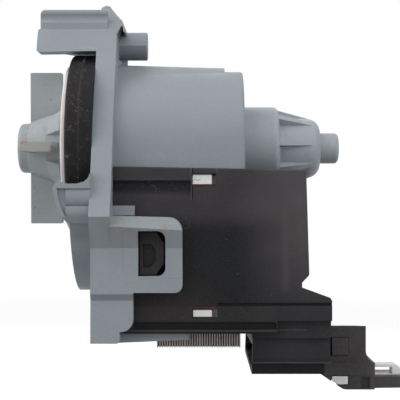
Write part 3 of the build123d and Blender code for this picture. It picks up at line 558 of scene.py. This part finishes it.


# Impeller: the blade that points at the near side, its end in painted shade, the places of its stains and
# its lower edge
NEAR_BLADE_Y = -16.0
NEAR_BLADE = (-20.3, -11.7, -2.4, 1.4)
NEAR_BLADE_END = (-11.9, -10.9, -2.3, -0.2)
NEAR_BLADE_STAINS = ((-20.6, -18.0, -0.1, 1.2), (-20.6, -18.6, -2.4, -1.4), (-12.6, -11.0, -2.6, -1.5))
NEAR_BLADE_EDGE = (-20.5, -12.0, -2.5, -2.0)
TOP_BLADE_Z = (9.0, 15.0)
TOP_BLADE_PAINTED_LIGHT = (0.43, 0.46, 0.475)
BLADE_TAN = (0.40, 0.39, 0.34)
BLADE_END_SHADE = (0.15, 0.155, 0.15)
ORANGE_STAIN = (0.36, 0.19, 0.07)
EDGE_BROWN = (0.17, 0.12, 0.07)
FAINT_TAN = (0.24, 0.23, 0.19)
BROWN_SPECK = (0.10, 0.06, 0.045)


def blade_stains_light_and_shade(paint):
    """Tan and orange stains along the near blade, fainter ones elsewhere, painted light on the top blade
    and painted shade at the near blade's end.
    """
    # Painted light: the impeller turns lighter upwards of Z 9 mm, on the top blade
    paint.layer(paint.along("Z", *TOP_BLADE_Z), TOP_BLADE_PAINTED_LIGHT, 0.55)
    near = paint.near_side(NEAR_BLADE_Y, soft=3.0)
    paint.layer(paint.both(near, paint.region(*NEAR_BLADE, soft=0.2)), BLADE_TAN, 0.75)
    # Painted shade at the near blade's end
    paint.layer(paint.both(near, paint.region(*NEAR_BLADE_END, soft=0.3)), BLADE_END_SHADE, 0.75)
    for stain in NEAR_BLADE_STAINS:
        blotch = paint.patches(0.9, 4.0, 0.36, 0.66)
        paint.layer(paint.both(near, paint.region(*stain, soft=0.8), blotch), ORANGE_STAIN, 0.85)
    edge = paint.both(near, paint.region(*NEAR_BLADE_EDGE, soft=0.3), paint.patches(0.8, 4.0, 0.35, 0.6))
    paint.layer(edge, EDGE_BROWN, 0.8)
    paint.layer(paint.patches(2.8, 5.0, 0.6, 0.75), FAINT_TAN, 0.35)
    paint.layer(paint.specks(2.6, 0.4, 0.3), BROWN_SPECK, 0.6)


def impeller_plastic():
    dark, light = (0.335, 0.364, 0.381), (0.374, 0.406, 0.424)
    stains = (grey_specks, blade_stains_light_and_shade)
    return moulded("impeller_plastic", dark, light, rough=0.5, dust=0.05, edge_mm=0.35, stains=stains)


# Seal: the line round it, the stretch of that line that the light catches, and its darker right side
SEAL_LINE = (-3.3, -3.05, -30.0, 30.0)
SEAL_LINE_TOP = (-3.35, -3.0, 24.8, 30.0)
SEAL_DARK_X = (-2.9, -1.9)
SEAL_HAIR_TURNS = ((0.3, 0.9, 0.2), (1.3, 0.2, 0.7))


def seal_rubber():
    """Black rubber with lint and pale dust, and a low ridge round it."""
    paint = Paint("seal_rubber", 0.3)
    paint.base((0.008, 0.007, 0.008), (0.014, 0.0125, 0.0135), size=5.0)
    paint.rough = 0.6
    paint.layer(paint.patches(1.4, 6.0, 0.52, 0.8), (0.05, 0.046, 0.044), 0.35)
    grain = paint.both(paint.specks(0.9, 0.16, 0.4), paint.patches(2.5, 3.0, 0.4, 0.6))
    paint.layer(grain, (0.16, 0.15, 0.14), 0.7)
    paint.layer(paint.specks(2.2, 0.2, 0.22), (0.42, 0.41, 0.38), 0.8)
    for turn in SEAL_HAIR_TURNS:
        lint = paint.hairs(1.7, 0.012, 0.44, stretch=(1, 1, 3), turn=turn)
        paint.layer(lint, (0.17, 0.155, 0.15), 0.7)
    paint.layer(paint.specks(0.6, 0.08, 0.5), (0.26, 0.25, 0.24), 0.5)
    paint.layer(paint.along("X", *SEAL_DARK_X), (0.005, 0.006, 0.009), 0.55)
    ridge = paint.region(*SEAL_LINE, soft=0.3)
    paint.layer(ridge, (0.050, 0.046, 0.048), 0.5)
    paint.layer(paint.region(*SEAL_LINE_TOP, soft=0.3), (0.22, 0.20, 0.19), 0.55)
    paint.relief(ridge, 0.12)
    paint.relief(paint.noise(0.5, 3.0), 0.02)
    return paint.finish(specular=0.15)


def inner_rubber():
    paint = Paint("inner_rubber", 0.15)
    paint.base((0.02, 0.02, 0.02), (0.035, 0.034, 0.033), size=3.0)
    paint.rough = 0.65
    paint.relief(paint.noise(0.5, 3.0), 0.02)
    return paint.finish(specular=0.25)


PLATE_RIM_X = (-8.1, -7.7)


def plate_plastic():
    """Off-white plate, greyed by the water, and duller behind its front edge."""
    paint = Paint("plate_plastic", 0.3)
    paint.base((0.78, 0.765, 0.745), (0.90, 0.885, 0.865), size=8.0)
    paint.rough = 0.5
    paint.layer(paint.along("X", *PLATE_RIM_X), (0.50, 0.44, 0.42), 0.6)
    paint.layer(paint.patches(4.0, 5.0, 0.55, 0.8), (0.38, 0.34, 0.29), 0.3)
    paint.layer(paint.specks(2.4, 0.25, 0.3), (0.2, 0.15, 0.11), 0.7)
    paint.relief(paint.noise(0.6, 2.0), 0.015)
    return paint.finish(specular=0.4)


# Bobbin: where painted shade starts, at the right end of its tabs, and the zigzag fibre in the upper window
TAB_END_SHADE_X = (34.7, 34.95)
FIBRE = (29.3, 31.6, -11.2, -9.4)
FIBRE_Z = -10.45
FIBRE_HALF_WAVE = 0.7
FIBRE_SLOPE = 0.5
FIBRE_HALF_WIDTH = (0.16, 0.06)


def bobbin_plastic():
    paint = Paint("bobbin_plastic", 0.2)
    paint.base((0.78, 0.775, 0.76), (0.86, 0.855, 0.85), size=4.0)
    paint.rough = 0.5
    # Painted shade beyond the right end of the tabs
    paint.layer(paint.along("X", *TAB_END_SHADE_X), (0.40, 0.385, 0.36), 0.75)
    paint.layer(paint.specks(1.2, 0.1, 0.25), (0.25, 0.22, 0.2), 0.6)
    zigzag = paint.math("PINGPONG", paint.axis("X"), FIBRE_HALF_WAVE)
    height = paint.math("SUBTRACT", paint.axis("Z"), paint.math("MULTIPLY", zigzag, FIBRE_SLOPE))
    distance = paint.math("ABSOLUTE", paint.math("SUBTRACT", height, FIBRE_Z))
    fibre = paint.both(paint.ramp(distance, *FIBRE_HALF_WIDTH), paint.region(*FIBRE, soft=0.2))
    paint.layer(fibre, (0.22, 0.17, 0.12), 0.7)
    paint.relief(paint.noise(0.5, 2.0), 0.012)
    return paint.finish(specular=0.4)


def bush_graphite():
    paint = Paint("bush_graphite", 0.15)
    paint.base((0.045, 0.045, 0.05), (0.075, 0.075, 0.08), size=2.0)
    paint.rough = 0.38
    paint.layer(paint.specks(0.6, 0.06, 0.3), (0.02, 0.02, 0.02), 0.6)
    return paint.finish(specular=0.5)


def shaft_ceramic():
    paint = Paint("shaft_ceramic", 0.15)
    paint.base((0.66, 0.64, 0.60), (0.74, 0.72, 0.69), size=3.0)
    paint.rough = 0.15
    paint.layer(paint.hairs(2.0, 0.006, 0.4, stretch=(6, 1, 1)), (0.4, 0.38, 0.35), 0.4)
    return paint.finish(specular=0.5)


def magnet_ferrite():
    paint = Paint("magnet_ferrite", 0.2)
    paint.base((0.035, 0.035, 0.04), (0.06, 0.06, 0.066), size=3.0)
    paint.rough = 0.45
    paint.layer(paint.specks(1.0, 0.1, 0.3), (0.12, 0.12, 0.13), 0.5)
    paint.relief(paint.noise(0.4, 3.0), 0.02)
    return paint.finish(specular=0.4)


def sleeve_plastic():
    return moulded("sleeve_plastic", (0.08, 0.08, 0.088), (0.11, 0.11, 0.12), rough=0.45, dust=0.04)


# How far behind the sheets' edges the gaps turn dark, with painted shade and some dirt
GAP_DARK_DEPTH = (0.1, 0.5)


def lamination_steel():
    """Cut sheet edges: each sheet its own grey-brown tone, with cut marks and rust specks."""
    paint = Paint("lamination_steel", 0.05)
    index = paint.math("FLOOR", paint.math("MULTIPLY", paint.axis("X"), 1 / sheet_pitch_mm()))
    tone = paint.tree.nodes.new("ShaderNodeTexWhiteNoise")
    tone.noise_dimensions = "1D"
    paint.put(tone.inputs["W"], index)
    paint.colour = paint.mix(tone.outputs["Value"], (0.34, 0.305, 0.285), (0.48, 0.43, 0.40))
    paint.rough = 0.55
    rust = paint.patches(1.1, 5.0, 0.56, 0.72)
    paint.layer(rust, (0.16, 0.08, 0.045), 0.55)
    low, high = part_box("core_stack")
    from_side = paint.math("SUBTRACT", high.y / MM, paint.math("ABSOLUTE", paint.axis("Y")))
    from_bottom = paint.math("SUBTRACT", paint.axis("Z"), low.z / MM)
    # Painted shade, with some dirt, deep in the gaps between sheets
    gap_shade_and_dirt = paint.ramp(paint.math("MINIMUM", from_side, from_bottom), *GAP_DARK_DEPTH)
    paint.layer(gap_shade_and_dirt, (0.022, 0.016, 0.014), 0.9)
    paint.layer(paint.specks(0.9, 0.12, 0.3), (0.05, 0.035, 0.03), 0.8)
    paint.roughen(rust, 0.3)
    paint.relief(paint.noise(0.25, 2.0, stretch=(0.4, 4, 4)), 0.02)
    return paint.finish(specular=0.3, metallic=0.3)


WIRE_PITCH = 0.25


def copper_winding():
    """Copper turns side by side, as relief."""
    paint = Paint("copper_winding", 0.1)
    height = paint.math("SINE", paint.math("MULTIPLY", paint.axis("Z"), math.tau / WIRE_PITCH))
    paint.base((0.42, 0.13, 0.05), (0.6, 0.24, 0.1), size=3.0)
    paint.rough = 0.3
    paint.relief(height, 0.05)
    return paint.finish(specular=0.5, metallic=0.8)


def red_tape():
    """Thin dark red film with soft creases."""
    paint = Paint("red_tape", 0.1)
    paint.base((0.30, 0.016, 0.016), (0.42, 0.03, 0.028), size=3.0)
    paint.rough = 0.28
    paint.relief(paint.noise(2.0, 2.0, stretch=(1, 1, 3)), 0.08)
    return paint.finish(specular=0.5)


# Cover: where each veil of dust and painted sheen, and a band of painted shadow, fade in along X or Z
TOP_VEIL_Z = (-25.5, -19.0)
RIGHT_VEIL_X = (40.0, 60.0)
RIGHT_VEIL_Z = (-50.0, -26.0)
LEDGE_SHADOW_X = (29.1, 28.9)
LEDGE_SHADOW_TOP_Z = (-10.4, -10.8)
LEDGE_SHADOW_BOTTOM_Z = (-15.6, -12.0)
LOW_LEFT_X = (42.0, 28.0)
LOW_LEFT_Z = (-36.0, -46.0)

# Cover: the strip above its lower groove, the lug in the snap loop and a painted highlight streak near its
# right end
COVER_STRIP = (6.6, 53.0, -50.6, -46.4)
LUG = (14.4, 21.3, -37.1, -25.0)
LUG_Y = -28.0
HIGHLIGHT_STREAK = (55.0, 56.4, -42.0, -19.0)

TOP_VEIL_DUST_AND_SHEEN = (0.054, 0.048, 0.053)
RIGHT_VEIL_DUST_AND_SHEEN = (0.100, 0.090, 0.097)
LEDGE_SHADOW_BLACK = (0.003, 0.004, 0.0055)
LOW_LEFT_DUST = (0.030, 0.024, 0.024)
STRIP_DUST = (0.040, 0.036, 0.037)
LUG_LIGHTER = (0.046, 0.041, 0.044)
STREAK_HIGHLIGHT = (0.105, 0.093, 0.095)
GRAIN_DUST = (0.10, 0.095, 0.095)
COARSE_SPECK = (0.12, 0.115, 0.11)
FINE_SPECK = (0.30, 0.29, 0.28)
LINT = (0.24, 0.22, 0.21)


def cover_dust_and_painted_light(paint):
    """Veils of dust and painted sheen on the black cover, a band of painted shadow at its top left, a
    painted highlight streak, and specks and lint all over.
    """
    ledge_shadow = paint.both(
        paint.along("X", *LEDGE_SHADOW_X),
        paint.along("Z", *LEDGE_SHADOW_TOP_Z),
        paint.along("Z", *LEDGE_SHADOW_BOTTOM_Z),
    )
    # Veils of dust with painted sheen, on the upper band and towards the right end
    top = paint.both(paint.along("Z", *TOP_VEIL_Z), paint.math("SUBTRACT", 1.0, ledge_shadow))
    cloud = paint.ramp(paint.noise(9.0, 5.0), 0.2, 0.8, to_low=0.7, to_high=1.0)
    paint.layer(paint.both(top, cloud), TOP_VEIL_DUST_AND_SHEEN, 0.88)
    right = paint.both(paint.along("X", *RIGHT_VEIL_X), paint.along("Z", *RIGHT_VEIL_Z, to_start=0.3))
    paint.layer(paint.both(right, cloud), RIGHT_VEIL_DUST_AND_SHEEN, 0.78)
    # Painted shadow in a band at the cover's top left, under its upper edge
    paint.layer(ledge_shadow, LEDGE_SHADOW_BLACK, 0.9)
    low_left = paint.both(paint.along("Z", *LOW_LEFT_Z), paint.along("X", *LOW_LEFT_X))
    paint.layer(paint.both(low_left, cloud), LOW_LEFT_DUST, 0.6)
    paint.layer(paint.both(paint.region(*COVER_STRIP, soft=0.3), cloud), STRIP_DUST, 0.45)
    # The lug's near face is painted lighter
    lug = paint.both(paint.region(*LUG, soft=0.1), paint.near_side(LUG_Y, soft=0.5))
    paint.layer(lug, LUG_LIGHTER, 0.6)
    # Painted highlight: a pale streak near the cover's right end
    paint.layer(paint.both(paint.region(*HIGHLIGHT_STREAK, soft=1.2), cloud), STREAK_HIGHLIGHT, 0.45)
    paint.layer(paint.patches(0.45, 3.0, 0.45, 0.75), GRAIN_DUST, 0.16)
    paint.layer(paint.specks(2.3, 0.2, 0.3), COARSE_SPECK, 0.75)
    fine_speck_areas = paint.math("MAXIMUM", paint.math("MAXIMUM", top, ledge_shadow), low_left)
    fine = paint.both(paint.specks(0.7, 0.09, 0.45), paint.ramp(fine_speck_areas, 0.0, 1.0, to_low=0.15))
    paint.layer(fine, FINE_SPECK, 0.6)
    paint.layer(paint.hairs(4.5, 0.004, 0.36), LINT, 0.6)


# Cover: painted shadow in its grooves, and painted highlights on the lips beside them
GROOVE_SHADOWS = ((36.4, 71.0, -46.15, -45.35), (12.6, 53.2, -52.8, -50.9), (46.0, 71.0, -67.0, -63.2))
LIP_HIGHLIGHTS = ((28.75, 29.0, -16.0, -6.6), (6.6, 62.0, -53.4, -53.2), (46.7, 69.0, -62.95, -62.75))


def groove_shadows_and_lip_highlights(paint):
    """Painted shadow in the grooves of the near and far faces, and painted highlights on the lips beside
    them.
    """
    for groove in GROOVE_SHADOWS:
        # Painted shadow in a groove
        paint.layer(paint.region(*groove, soft=0.12), (0.002, 0.0022, 0.003), 0.9)
    for lip in LIP_HIGHLIGHTS:
        # Painted highlight on a lip
        paint.layer(paint.region(*lip, soft=0.1), (0.13, 0.13, 0.14), 0.6)


def cover_plastic():
    dark, light = (0.0075, 0.0082, 0.0098), (0.0095, 0.0102, 0.0120)
    finish = {"rough": 0.5, "dust": 0.02, "edge_mm": 0.3, "specular": 0.13}
    return moulded("cover_plastic", dark, light, stains=(cover_dust_and_painted_light, groove_shadows_and_lip_highlights), **finish)


def carrier_plastic():
    return moulded("carrier_plastic", (0.40, 0.42, 0.43), (0.48, 0.5, 0.51), rough=0.45, dust=0.05)


def terminal_brass():
    paint = Paint("terminal_brass", 0.1)
    paint.base((0.6, 0.47, 0.2), (0.72, 0.58, 0.3), size=2.0)
    paint.rough = 0.25
    paint.layer(paint.patches(1.0, 5.0, 0.55, 0.8), (0.35, 0.22, 0.09), 0.4)
    paint.relief(paint.noise(0.3, 2.0, stretch=(4, 1, 1)), 0.01)
    return paint.finish(specular=0.5, metallic=1.0)


# Plug: where the dust of its bar fades in, and the painted shade in the recess in its side
BAR_DUST_X = (80.0, 84.0)
PLUG_RECESS_SHADE = (79.8, 82.2, -72.4, -69.2)


def plug_dust_and_recess_shade(paint):
    """Warm dust on the black plug, thickest on its bar, with painted shade in the side recess."""
    paint.layer(paint.patches(0.8, 5.0, 0.38, 0.68), (0.075, 0.067, 0.066), 0.35)
    paint.layer(paint.along("X", *BAR_DUST_X), (0.072, 0.067, 0.067), 0.6)
    paint.layer(paint.specks(0.7, 0.09, 0.35), (0.16, 0.15, 0.145), 0.5)
    # Painted shade in the side recess
    paint.layer(paint.region(*PLUG_RECESS_SHADE, soft=0.1), (0.008, 0.009, 0.014), 0.85)


def plug_plastic():
    dark, light = (0.024, 0.022, 0.024), (0.038, 0.035, 0.037)
    return moulded("plug_plastic", dark, light, rough=0.42, dust=0.03, specular=0.25, stains=(plug_dust_and_recess_shade,))


LOOP_START_X = (78.0, 79.0)


def loop_painted_lighter(paint):
    """Painted light: the locking loop is painted whiter than the terminal lock, which ends before the loop
    starts.
    """
    # Painted light on the locking loop
    paint.layer(paint.along("X", *LOOP_START_X), (0.96, 0.96, 0.955))


def lock_plastic():
    dark, light = (0.72, 0.72, 0.73), (0.80, 0.80, 0.80)
    return moulded("lock_plastic", dark, light, rough=0.45, dust=0.03, edge_mm=0.3, stains=(loop_painted_lighter,))


def fuse_body():
    return moulded("fuse_body", (0.66, 0.63, 0.56), (0.74, 0.71, 0.65), rough=0.3, dust=0.05)


MATERIALS = {
    make.__name__: make
    for make in (
        housing_plastic,
        can_plastic,
        impeller_plastic,
        seal_rubber,
        inner_rubber,
        plate_plastic,
        bobbin_plastic,
        bush_graphite,
        shaft_ceramic,
        magnet_ferrite,
        sleeve_plastic,
        lamination_steel,
        copper_winding,
        red_tape,
        cover_plastic,
        carrier_plastic,
        terminal_brass,
        plug_plastic,
        lock_plastic,
        fuse_body,
    )
}


def dress_nodes(materials):
    """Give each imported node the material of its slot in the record."""
    for part in frame["record"]["subparts"]:
        mesh = frame["nodes"][part["node"]].data
        mesh.materials.clear()
        mesh.materials.append(materials[part["material_slot"]])


# Lamination stack


def sheet_pitch_mm():
    low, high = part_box("core_stack")
    return (high.x - low.x) / MM / SHEET_COUNT


def sheet_outline():
    """One leg and half the yoke of a lamination, as (y, z) points in millimetres, then its mirror image."""
    low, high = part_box("core_stack")
    outer, bottom, top = high.y / MM, low.z / MM, high.z / MM
    start = math.atan2(-math.sqrt(AIR_R_MM**2 - LEG_INNER_MM**2), LEG_INNER_MM)
    end = math.asin(top / AIR_R_MM)
    right = [(LEG_INNER_MM, bottom + YOKE_HEIGHT_MM)]
    for step in range(ARC_STEPS + 1):
        angle = start + (end - start) * step / ARC_STEPS
        right.append((AIR_R_MM * math.cos(angle), AIR_R_MM * math.sin(angle)))
    right += [(outer, top), (outer, bottom)]
    left = [(-y, z) for y, z in reversed(right)]
    return right + left


def add_sheet(sheets, outline, x0, x1, inset):
    """One sheet between two X values in millimetres, drawn in towards the stack's middle."""
    low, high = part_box("core_stack")
    middle_z = (low.z + high.z) / 2 / MM
    scale_y = 1 - inset / INSET_REACH_Y_MM
    scale_z = 1 - inset / INSET_REACH_Z_MM
    ends = []
    for x in (x0, x1):
        points = [(x, y * scale_y, middle_z + (z - middle_z) * scale_z) for y, z in outline]
        ends.append([sheets.verts.new(Vector(point) * MM) for point in points])
    first, last = ends
    sheets.faces.new(first)
    sheets.faces.new(list(reversed(last)))
    count = len(outline)
    for a in range(count):
        b = (a + 1) % count
        sheets.faces.new((first[b], first[a], last[a], last[b]))


def add_sheet_cores(sheets):
    """Fill the lower stack behind its sheets' edges, so that the gaps between sheets have a floor."""
    low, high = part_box("core_stack")
    x0, x1 = low.x / MM + CORE_END_MM, high.x / MM - CORE_END_MM
    outer, bottom = high.y / MM - CORE_BACK_MM, low.z / MM + CORE_BOTTOM_MM
    inner, yoke_top = LEG_INNER_MM + CORE_BACK_MM, low.z / MM + YOKE_HEIGHT_MM - CORE_BACK_MM
    leg_top = -AIR_R_MM - CORE_BACK_MM
    boxes = [(-outer, outer, bottom, yoke_top)]
    boxes += [(inner, outer, yoke_top, leg_top), (-outer, -inner, yoke_top, leg_top)]
    for y0, y1, z0, z1 in boxes:
        centre = Vector(((x0 + x1) / 2, (y0 + y1) / 2, (z0 + z1) / 2)) * MM
        size = Vector((x1 - x0, y1 - y0, z1 - z0)) * MM
        matrix = Matrix.Translation(centre) @ Matrix.Diagonal((*size, 1))
        bmesh.ops.create_cube(sheets, size=1.0, matrix=matrix)


def make_laminations(material):
    """The stack as separate sheets, each a little out of line with the next."""
    low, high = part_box("core_stack")
    pitch = sheet_pitch_mm()
    shuffle = random.Random(SHUFFLE_SEED)
    outline = sheet_outline()
    sheets = bmesh.new()
    for index in range(SHEET_COUNT):
        x0 = low.x / MM + pitch * index + SHEET_GAP_MM / 2
        x1 = x0 + pitch - SHEET_GAP_MM
        at_end = index in (0, SHEET_COUNT - 1)
        inset = 0.0 if at_end else SHEET_JITTER_MM * shuffle.random()
        add_sheet(sheets, outline, x0, x1, inset)
    add_sheet_cores(sheets)
    bmesh.ops.recalc_face_normals(sheets, faces=sheets.faces)
    mesh = bpy.data.meshes.new("lamination_sheets")
    sheets.to_mesh(mesh)
    sheets.free()
    mesh.materials.append(material)
    stack = bpy.data.objects.new("lamination_sheets", mesh)
    bpy.context.scene.collection.objects.link(stack)
    burr = stack.modifiers.new("burr", "BEVEL")
    burr.width = SHEET_BURR_MM * MM
    burr.segments = 1
    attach(stack, "stator")
    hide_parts("core_stack")


bpy.context.scene.view_settings.view_transform = "Standard"
make_studio()
materials = {slot: make() for slot, make in MATERIALS.items()}
dress_nodes(materials)
make_laminations(materials["lamination_steel"])
